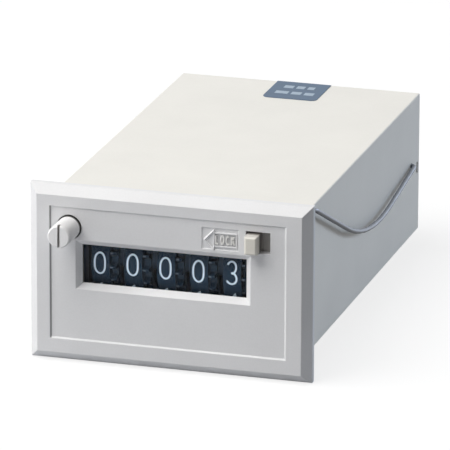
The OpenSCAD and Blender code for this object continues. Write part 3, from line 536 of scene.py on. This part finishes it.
def wound_copper(name, colour):
    """Layers of enamelled wire round the bobbin, with painted shade between the turns."""
    surface = Surface(name, metallic=0.9)
    turns = surface.waves(pitch=0.22 * MM, direction="Y", distortion=0.4)
    cloud = surface.noise(size=3 * MM)
    # Painted shade between the turns
    turn_shade = shade(colour, 0.35)
    crown = surface.tint(cloud, colour, low=0.85, high=1.1)
    surface.colour(surface.mix(turn_shade, crown, surface.spread(turns, low=0.0, high=0.6)))
    surface.roughness(cloud, low=0.25, high=0.4)
    surface.bump(turns, depth=0.06 * MM, strength=0.8)
    return surface.material


# The finish of each material slot: the function that makes it, its colour and its options
FINISHES = {
    # The bezel's left field step is darkened with painted shade
    "bezel_grey": (moulded_plastic, BEZEL_GREY, dict(roughness=0.62, painted_shade=left_step_shade)),
    "clear_lens": (clear_plastic, linear(250, 252, 254), dict(ior=1.16)),
    "knob_white": (brushed_knob, linear(246, 245, 245), {}),
    "spring_steel": (drawn_metal, linear(196, 198, 204), dict(roughness=0.3, axis="Y")),
    "sheet_steel": (drawn_metal, linear(130, 150, 170), dict(roughness=0.42, axis="Y", streak=0.5 * MM)),
    "slider_beige": (slider_plastic, linear(231, 227, 217), {}),
    "housing_white": (moulded_plastic, linear(236, 234, 228), dict(roughness=0.52)),
    "cover_grey": (moulded_plastic, linear(196, 196, 194), dict(roughness=0.5, grain=0.3 * MM)),
    "label_film": (printed_film, linear(84, 104, 126), {}),
    "bail_wire": (oiled_wire, linear(134, 138, 145), {}),
    "screw_steel": (drawn_metal, linear(206, 206, 208), dict(roughness=0.28, axis="Z")),
    "shaft_steel": (drawn_metal, linear(210, 210, 214), dict(roughness=0.2, axis="X")),
    # The wheels' paler hub colour is painted light
    "wheel_black": (wheel_plastic, linear(25, 41, 56),
                    dict(painted_light=linear(150, 176, 202), axis=joint("wheel_units_turn")["pos_m"])),
    "pinion_plastic": (moulded_plastic, linear(58, 64, 72), dict(roughness=0.4, grain=0.2 * MM)),
    "magnet_iron": (drawn_metal, linear(178, 178, 180),
                    dict(roughness=0.42, axis="Z", streak=0.5 * MM, stain=0.2)),
    "bobbin_brown": (moulded_plastic, linear(122, 88, 60), dict(roughness=0.4, grain=0.25 * MM)),
    "copper_winding": (wound_copper, linear(200, 120, 66), {}),
    "terminal_brass": (drawn_metal, linear(222, 190, 116), dict(roughness=0.3, axis="X", stain=0.2)),
    "lead_red": (moulded_plastic, linear(186, 44, 38), dict(roughness=0.38, grain=0.3 * MM, mottle=0.08)),
}

materials = {slot: make(slot, colour, **options) for slot, (make, colour, options) in FINISHES.items()}
for subpart in frame["record"]["subparts"]:
    frame["nodes"][subpart["node"]].material_slots[0].material = materials[subpart["material_slot"]]


# Softened edges

def soften(node, radius):
    """Joins the node's facets into whole faces and rounds its sharp edges."""
    weld = node.modifiers.new("weld", "WELD")
    weld.merge_threshold = WELD_REACH
    whole = node.modifiers.new("whole_faces", "DECIMATE")
    whole.decimate_type = "DISSOLVE"
    whole.angle_limit = FLAT_ANGLE
    bevel = node.modifiers.new("edges", "BEVEL")
    bevel.width = radius
    bevel.segments = EDGE_SEGMENTS
    bevel.limit_method = "ANGLE"
    bevel.angle_limit = SHARP_ANGLE
    bevel.harden_normals = True
    bevel.use_clamp_overlap = True


for name, radius in EDGE_RADIUS.items():
    soften(frame["nodes"][name], radius)

# The key light reaches the digits through the lens
frame["nodes"]["window_lens"].visible_shadow = False


# Strokes of numerals and letters

def arc(cx, cy, rx, ry, start, stop):
    """Points of an elliptic arc, angles in degrees."""
    angles = [radians(start + (stop - start) * k / ARC_STEPS) for k in range(ARC_STEPS + 1)]
    return [(cx + rx * cos(angle), cy + ry * sin(angle)) for angle in angles]


# Each numeral or letter is a list of strokes in a cell 1 wide and 1 high, about its middle. The 1 and the 4 are
# lower than the rest only to keep their tops, under the 0 and the 3 that show, as faint as in the photograph.
NUMERALS = {
    0: [arc(0, 0.1, 0.5, 0.4, 0, 180) + arc(0, -0.1, 0.5, 0.4, 180, 360) + [(0.5, 0.1)]],
    1: [[(-0.2, 0.2), (0.02, 0.29), (0.02, -0.5)]],
    2: [arc(0, 0.22, 0.47, 0.28, 165, -30) + [(-0.5, -0.5), (0.5, -0.5)]],
    3: [arc(0, 0.28, 0.43, 0.28, 155, -75) + [(-0.02, 0.02)],
        [(-0.02, 0.02)] + arc(0, -0.235, 0.49, 0.275, 75, -155)],
    4: [[(0.25, -0.5), (0.25, 0.31), (-0.5, -0.2), (0.5, -0.2)]],
    5: [[(0.42, 0.5), (-0.36, 0.5), (-0.42, 0.04)] + arc(0, -0.19, 0.48, 0.31, 128, -150)],
    6: [[(0.3, 0.5), (-0.28, 0.08)] + arc(0, -0.2, 0.48, 0.3, 150, -210)],
    7: [[(-0.48, 0.5), (0.48, 0.5), (-0.12, -0.5)]],
    8: [arc(0, 0.26, 0.4, 0.24, -90, 270), arc(0, -0.24, 0.48, 0.26, 90, 450)],
    9: [[(-0.3, -0.5), (0.28, -0.08)] + arc(0, 0.2, 0.48, 0.3, -30, -390)],
}

LETTERS = {
    "L": [[(-0.45, 0.5), (-0.45, -0.5), (0.45, -0.5)]],
    "O": [arc(0, 0, 0.5, 0.5, 0, 360)],
    "C": [arc(0.05, 0, 0.5, 0.5, 50, 310)],
    "K": [[(-0.45, 0.5), (-0.45, -0.5)], [(0.45, 0.5), (-0.4, -0.02)], [(-0.2, 0.12), (0.48, -0.5)]],
}


def ribbon(mesh, points, width, closed, lift, crest=1.0):
    """Adds a band of a given width along points, where lift places (u, v, top or bottom).

    The crest is the width of its top as a share of the width of its foot.
    """
    count = len(points)
    rows = []
    for index, point in enumerate(points):
        before = points[(index - 1) % count] if closed or index else point
        after = points[(index + 1) % count] if closed or index < count - 1 else point
        first = (Vector(point) - Vector(before)).normalized()
        second = (Vector(after) - Vector(point)).normalized()
        along = (first + second).normalized()
        across = Vector((-along.y, along.x))
        edge = Vector((-second.y, second.x)) if second.length else Vector((-first.y, first.x))
        reach = width / 2 / max(MITRE_LIMIT, across.dot(edge))
        row = []
        for top, share in ((True, crest), (False, 1.0)):
            for side in (Vector(point) + across * reach * share, Vector(point) - across * reach * share):
                row.append(mesh.verts.new(lift(side.x, side.y, top)))
        rows.append(row)
    pairs = list(zip(rows, rows[1:]))
    if closed:
        pairs.append((rows[-1], rows[0]))
    else:
        mesh.faces.new((rows[0][0], rows[0][1], rows[0][3], rows[0][2]))
        mesh.faces.new((rows[-1][1], rows[-1][0], rows[-1][2], rows[-1][3]))
    for (a0, a1, a2, a3), (b0, b1, b2, b3) in pairs:
        mesh.faces.new((a1, a0, b0, b1))
        mesh.faces.new((a2, a3, b3, b2))
        mesh.faces.new((a0, a2, b2, b0))
        mesh.faces.new((a3, a1, b1, b3))


def dense(points):
    """The same line with points no more than a step apart, so that it can follow a curved surface."""
    line = [Vector(points[0])]
    for point in points[1:]:
        start = line[-1]
        span = Vector(point) - start
        parts = max(1, ceil(span.length / STROKE_STEP))
        line += [start + span * k / parts for k in range(1, parts + 1)]
    return line


def strokes_mesh(mesh, strokes, width, height, stroke, lift, crest=1.0):
    """Adds the strokes of one numeral or letter."""
    for points in strokes:
        line = dense([(u * (width - stroke), v * (height - stroke)) for u, v in points])
        closed = (line[0] - line[-1]).length < stroke * CLOSED_WITHIN
        ribbon(mesh, line[:-1] if closed else line, stroke, closed, lift, crest)


def piece(name, mesh, material, body=None):
    """Makes an object from a bmesh, with its finish and, where one is given, the body that it moves with."""
    bmesh.ops.recalc_face_normals(mesh, faces=mesh.faces)
    data = bpy.data.meshes.new(name)
    mesh.to_mesh(data)
    mesh.free()
    obj = bpy.data.objects.new(name, data)
    bpy.context.scene.collection.objects.link(obj)
    obj.data.materials.append(material)
    if body:
        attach(obj, body)
    return obj


# Numerals and rubbed teeth on the wheels

def wheel_circle(place):
    """Centre and drum radius of a wheel."""
    middle = Vector(joint("wheel_" + place + "_turn")["pos_m"])
    return middle, middle.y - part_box("digit_wheel_" + place)[0].y


def round_lift(middle, radius, raised, turn):
    """Placing function for a mark round a wheel, where u runs along the axis and v round the rim."""
    def lift(u, v, top):
        angle = v / radius + turn
        reach = radius + raised if top else radius - DIGIT_SINK
        return (middle.x + u, middle.y - reach * cos(angle), middle.z + reach * sin(angle))
    return lift


def wheel_numerals(place, shown, ink):
    """The ten numerals round one wheel, with the one that shows facing the window."""
    middle, radius = wheel_circle(place)
    mesh = bmesh.new()
    for digit in range(DIGIT_COUNT):
        turn = (shown - digit) * DIGIT_STEP + PRINT_SHIFT[place] / radius
        lift = round_lift(middle, radius, DIGIT_RAISE, turn)
        strokes_mesh(mesh, NUMERALS[digit], DIGIT_WIDTH, DIGIT_HEIGHT, DIGIT_STROKE, lift)
    piece("numerals_" + place, mesh, ink, "wheel_" + place)


def tooth_highlights(place, highlight_film):
    """Painted highlights on the tips of one wheel's ring teeth."""
    middle, radius = wheel_circle(place)
    mesh = bmesh.new()
    line = [(u, 0.0) for u in TOOTH_SPAN]
    # Pale strips on the tooth tips are painted highlights
    for tooth in range(TOOTH_COUNT):
        turn = tooth * 2 * pi / TOOTH_COUNT - TOOTH_PHASE
        lift = round_lift(middle, radius - TOOTH_STEP_IN, TOOTH_HIGHLIGHT_RAISE, turn)
        ribbon(mesh, line, TOOTH_HIGHLIGHT_W, False, lift)
    piece("tooth_highlights_" + place, mesh, highlight_film, "wheel_" + place)


def add_wheel_marks():
    """Numerals and painted highlights on the teeth of all wheels, in two shared finishes."""
    ink = matt_film("numeral_ink", NUMERAL_WHITE)
    highlight_film = matt_film("tooth_highlight_paint", TOOTH_HIGHLIGHT_GREY)
    for place, shown in WHEELS.items():
        wheel_numerals(place, shown, ink)
        tooth_highlights(place, highlight_film)


add_wheel_marks()


# Arrow and word moulded in the sunken patch left of the lock slider, with painted shade in the arrow's box and a
# painted highlight on the word

def patch_lift(raised, right=0.0, up=0.0):
    """Placing function for a mark on the sunken patch, about a middle."""
    def lift(u, v, top):
        return (u + right, PATCH_Y - raised if top else PATCH_Y + MARK_SINK, v + up)
    return lift


def lock_arrow():
    """Raised outline of an arrow that points to the left, with a box for its shaft."""
    low, high = ARROW_BOX_Z
    head = [(ARROW_BARB_X, high), (ARROW_BARB_X, ARROW_TIP_Z + ARROW_BARB_RISE), (ARROW_TIP_X, ARROW_TIP_Z),
            (ARROW_BARB_X, ARROW_TIP_Z - ARROW_BARB_RISE), (ARROW_BARB_X, low)]
    box = [(ARROW_BARB_X, low), (ARROW_BARB_X, high), (ARROW_BOX_X, high), (ARROW_BOX_X, low)]
    mesh = bmesh.new()
    ribbon(mesh, head, MARK_STROKE, False, patch_lift(MARK_RAISE), MARK_CREST)
    ribbon(mesh, box, BOX_STROKE, True, patch_lift(BOX_RAISE), BOX_CREST)
    piece("lock_arrow", mesh, materials["bezel_grey"], "counter")


def lock_box_shade():
    """Painted shade: a dark sheet on the floor of the arrow's box, where the frame and letters would shade it."""
    low, high = ARROW_BOX_Z
    middle = (low + high) / 2
    mesh = bmesh.new()
    ends = [(ARROW_BARB_X, middle), (ARROW_BOX_X, middle)]
    # The sheet is painted shade
    ribbon(mesh, ends, high - low, False, patch_lift(GROUND_RAISE))
    piece("lock_box_shade", mesh, matt_film("painted_shade", BOX_SHADE_GREY), "counter")


def lock_word():
    """The word inside the arrow's shaft, its letters painted paler than the bezel as a painted highlight."""
    mesh = bmesh.new()
    for index, letter in enumerate(WORD):
        right = WORD_X + (index - (len(WORD) - 1) / 2) * LETTER_PITCH
        lift = patch_lift(LETTER_RAISE, right, WORD_Z)
        strokes_mesh(mesh, LETTERS[letter], LETTER_W, LETTER_H, LETTER_STROKE, lift, LETTER_CREST)
    # The letters' pale colour is a painted highlight
    piece("lock_word", mesh, matt_film("word_highlight", WORD_HIGHLIGHT_PALE), "counter")


lock_arrow()
lock_box_shade()
lock_word()


# Plain bars printed on the label

def label_bars():
    """Two rows of bars, set about the middle of the label."""
    low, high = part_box("top_label")
    middle = (low + high) / 2
    mesh = bmesh.new()

    def lift(u, v, top):
        return (middle.x + u, middle.y + v, high.z + LABEL_BAR_RAISE if top else middle.z)

    for behind, bars in LABEL_ROWS:
        for ends in bars:
            ribbon(mesh, [(u * MM, behind * MM) for u in ends], LABEL_BAR_W, False, lift)
    piece("label_bars", mesh, matt_film("label_ink", LABEL_INK), "counter")


label_bars()


# Coil springs

def coil(name, node, letter, turns):
    """Round-wire coil in the place of a CAD spring, with its axis along Y or Z."""
    low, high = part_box(node)
    along = "XYZ".index(letter)
    right = Vector((1, 0, 0))
    axis = Vector((0, 0, 0))
    axis[along] = 1
    up = axis.cross(right)
    foot = (low + high) / 2
    foot[along] = low[along] + COIL_WIRE
    radius = (high.x - low.x) / 2 - COIL_WIRE
    rise = axis * (high[along] - low[along] - 2 * COIL_WIRE) / (turns * COIL_STEPS)
    mesh = bmesh.new()
    rings = []
    for step in range(turns * COIL_STEPS + 1):
        angle = 2 * pi * step / COIL_STEPS
        out = right * cos(angle) + up * sin(angle)
        along_wire = (up * cos(angle) - right * sin(angle)) * radius * 2 * pi / COIL_STEPS + rise
        over = along_wire.cross(out).normalized()
        centre = foot + out * radius + rise * step
        rings.append([mesh.verts.new(centre + COIL_WIRE * (out * cos(turn) + over * sin(turn)))
                      for turn in (2 * pi * k / COIL_SIDES for k in range(COIL_SIDES))])
    for first, second in zip(rings, rings[1:]):
        for k in range(COIL_SIDES):
            after = (k + 1) % COIL_SIDES
            mesh.faces.new((first[k], first[after], second[after], second[k])).smooth = True
    mesh.faces.new(rings[0])
    mesh.faces.new(rings[-1])
    obj = piece(name, mesh, materials["spring_steel"])
    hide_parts(node)
    return obj, low, high


def add_springs():
    """Coils in the place of the reset spring, which moves with the counter's body, and the armature's spring,
    which stays where it stands.
    """
    obj, low, high = coil("reset_coil", "reset_spring", "Y", RESET_TURNS)
    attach(obj, "counter")
    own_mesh(obj)
    obj, low, high = coil("armature_coil", "armature_spring", "Z", RETURN_TURNS)
    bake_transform(obj)


add_springs()


# Camera

def camera_axes():
    """Unit vectors to the right, up and back of the camera."""
    back = Vector((sin(CAMERA_AZIMUTH) * cos(CAMERA_ELEVATION), -cos(CAMERA_AZIMUTH) * cos(CAMERA_ELEVATION),
                   sin(CAMERA_ELEVATION)))
    right = Vector((cos(CAMERA_AZIMUTH), sin(CAMERA_AZIMUTH), 0))
    up = back.cross(right)
    rolled_right = cos(CAMERA_ROLL) * right + sin(CAMERA_ROLL) * up
    rolled_up = cos(CAMERA_ROLL) * up - sin(CAMERA_ROLL) * right
    return rolled_right, rolled_up, back


def add_camera():
    """Camera at the photograph's viewing angle."""
    right, up, back = camera_axes()
    data = bpy.data.cameras.new("camera")
    data.lens = CAMERA_LENS
    data.sensor_width = CAMERA_SENSOR
    data.sensor_fit = "HORIZONTAL"
    camera = bpy.data.objects.new("camera", data)
    place = back * CAMERA_DISTANCE + right * CAMERA_RIGHT + up * CAMERA_UP
    camera.matrix_world = Matrix.Translation(place) @ Matrix((right, up, back)).transposed().to_4x4()
    bpy.context.scene.collection.objects.link(camera)
    bpy.context.scene.camera = camera


add_camera()


# Light

def add_area(name, direction, distance, size, level, colour):
    """Soft round lamp that stands in a direction from the target and faces it."""
    data = bpy.data.lights.new(name, "AREA")
    data.shape = "DISK"
    data.size = size
    data.energy = level * pi * pi * distance * distance
    data.color = colour
    lamp = bpy.data.objects.new(name, data)
    towards = Vector(direction).normalized()
    lamp.location = LAMP_TARGET + towards * distance
    lamp.rotation_euler = towards.to_track_quat("Z", "Y").to_euler()
    bpy.context.scene.collection.objects.link(lamp)


for name, settings in LAMPS.items():
    add_area(name, **settings)


def seen_directly(tree):
    """Factor that is 1 for what the camera sees, also in gloss and through the lens."""
    path = add_node(tree, "ShaderNodeLightPath", {})
    factor = path.outputs["Is Camera Ray"]
    for ray in ("Is Glossy Ray", "Is Transmission Ray"):
        factor = maths(tree, "MAXIMUM", factor, path.outputs[ray])
    return factor


def add_world():
    """Soft surround, seen as white by the camera, in gloss and through the lens."""
    world = bpy.data.worlds.new("surround")
    bpy.context.scene.world = world
    world.use_nodes = True
    tree = world.node_tree
    soft = tree.nodes["Background"]
    soft.inputs["Color"].default_value = SURROUND_COLOUR
    soft.inputs["Strength"].default_value = SURROUND_STRENGTH
    white = add_node(tree, "ShaderNodeBackground", {"Color": WHITE, "Strength": 1.0})
    choices = {"Fac": seen_directly(tree), 1: soft.outputs[0], 2: white.outputs[0]}
    choose = add_node(tree, "ShaderNodeMixShader", choices)
    tree.links.new(choose.outputs[0], tree.nodes["World Output"].inputs["Surface"])


add_world()


# Floor

def floor_paper():
    """Paper that looks white to the camera, keeps the shadow and is paler on the key light's side."""
    surface = Surface("floor_white", specular=FLOOR_SPECULAR)
    side = surface.between(surface.along("X"), -FLOOR_FADE, FLOOR_FADE)
    seen = seen_directly(surface.tree)
    surface.colour(surface.mix(surface.mix(FLOOR_PALE, FLOOR_DIM, side), FLOOR_SEEN, seen))
    surface.shader.inputs["Roughness"].default_value = FLOOR_ROUGHNESS
    surface.shader.inputs["Emission Color"].default_value = WHITE
    glow = surface.spread(seen, low=0.0, high=FLOOR_GLOW)
    surface.tree.links.new(glow, surface.shader.inputs["Emission Strength"])
    return surface.material


def add_floor():
    """Flat floor just under the object."""
    mesh = bmesh.new()
    bmesh.ops.create_grid(mesh, x_segments=1, y_segments=1, size=FLOOR_HALF)
    data = bpy.data.meshes.new("floor")
    mesh.to_mesh(data)
    mesh.free()
    floor = bpy.data.objects.new("floor", data)
    floor.location.z = CAD_BOX[0][2] - FLOOR_GAP
    bpy.context.scene.collection.objects.link(floor)
    data.materials.append(floor_paper())


add_floor()
bpy.context.scene.view_settings.view_transform = "Standard"
